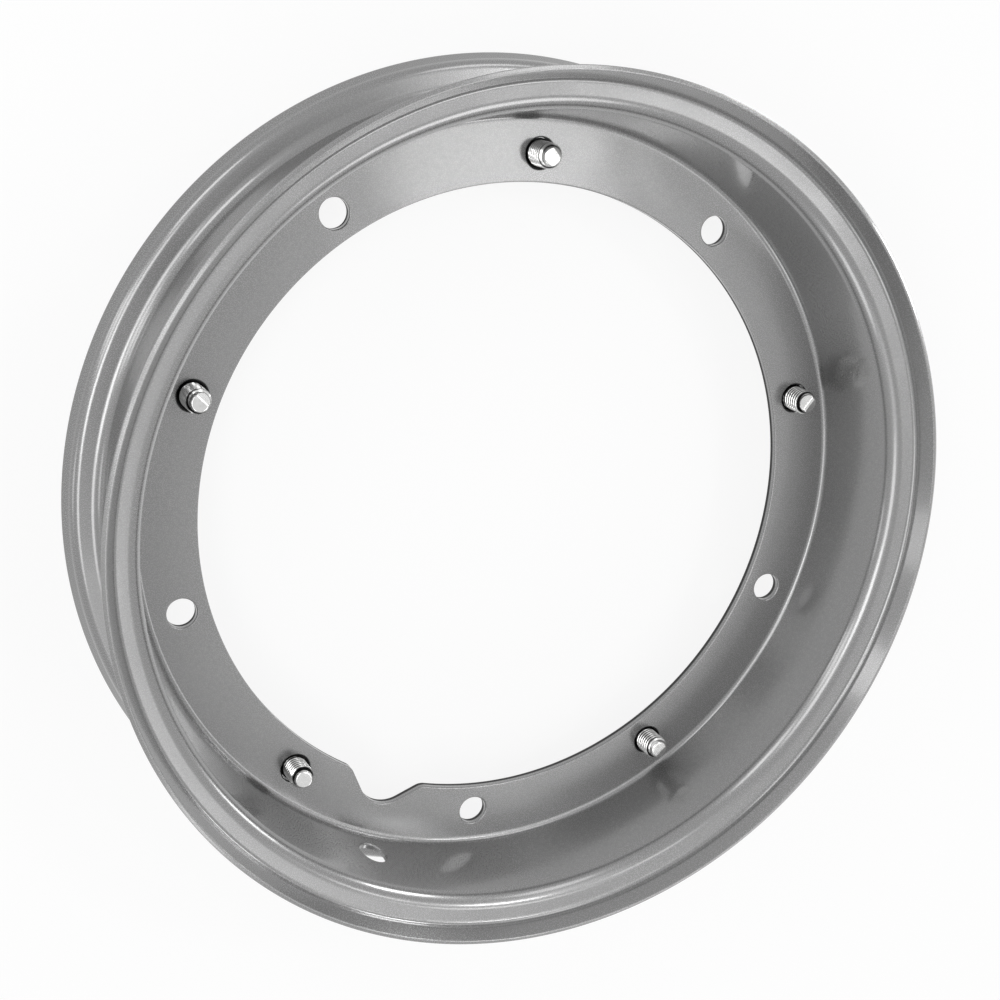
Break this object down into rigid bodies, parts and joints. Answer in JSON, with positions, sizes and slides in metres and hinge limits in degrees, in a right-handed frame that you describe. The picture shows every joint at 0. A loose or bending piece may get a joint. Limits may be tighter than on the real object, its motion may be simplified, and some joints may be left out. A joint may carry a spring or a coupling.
{
  "type": "motor scooter rim",
  "caption": "Split pressed-steel rim for a small scooter wheel: a deep and a shallow flanged half held web to web by studs, with hub bolt holes and a valve notch.",
  "frame": {"origin": "on the wheel's axis, in the plane of the shallow half's lip, which the rim lies on", "axes": "+Z along the wheel's axis towards the deep half, -Y towards the valve notch"},
  "size_m": [0.2774, 0.2774, 0.0624],
  "materials": {
    "silver_paint": "satin silver-grey paint",
    "bright_zinc": "bright zinc plating"
  },
  "bodies": {
    "root": {"deep_rim_half": "silver_paint", "shallow_rim_half": "silver_paint", "stud_1": "bright_zinc", "stud_2": "bright_zinc", "stud_3": "bright_zinc", "stud_4": "bright_zinc", "stud_5": "bright_zinc"}
  },
  "joints": []
}
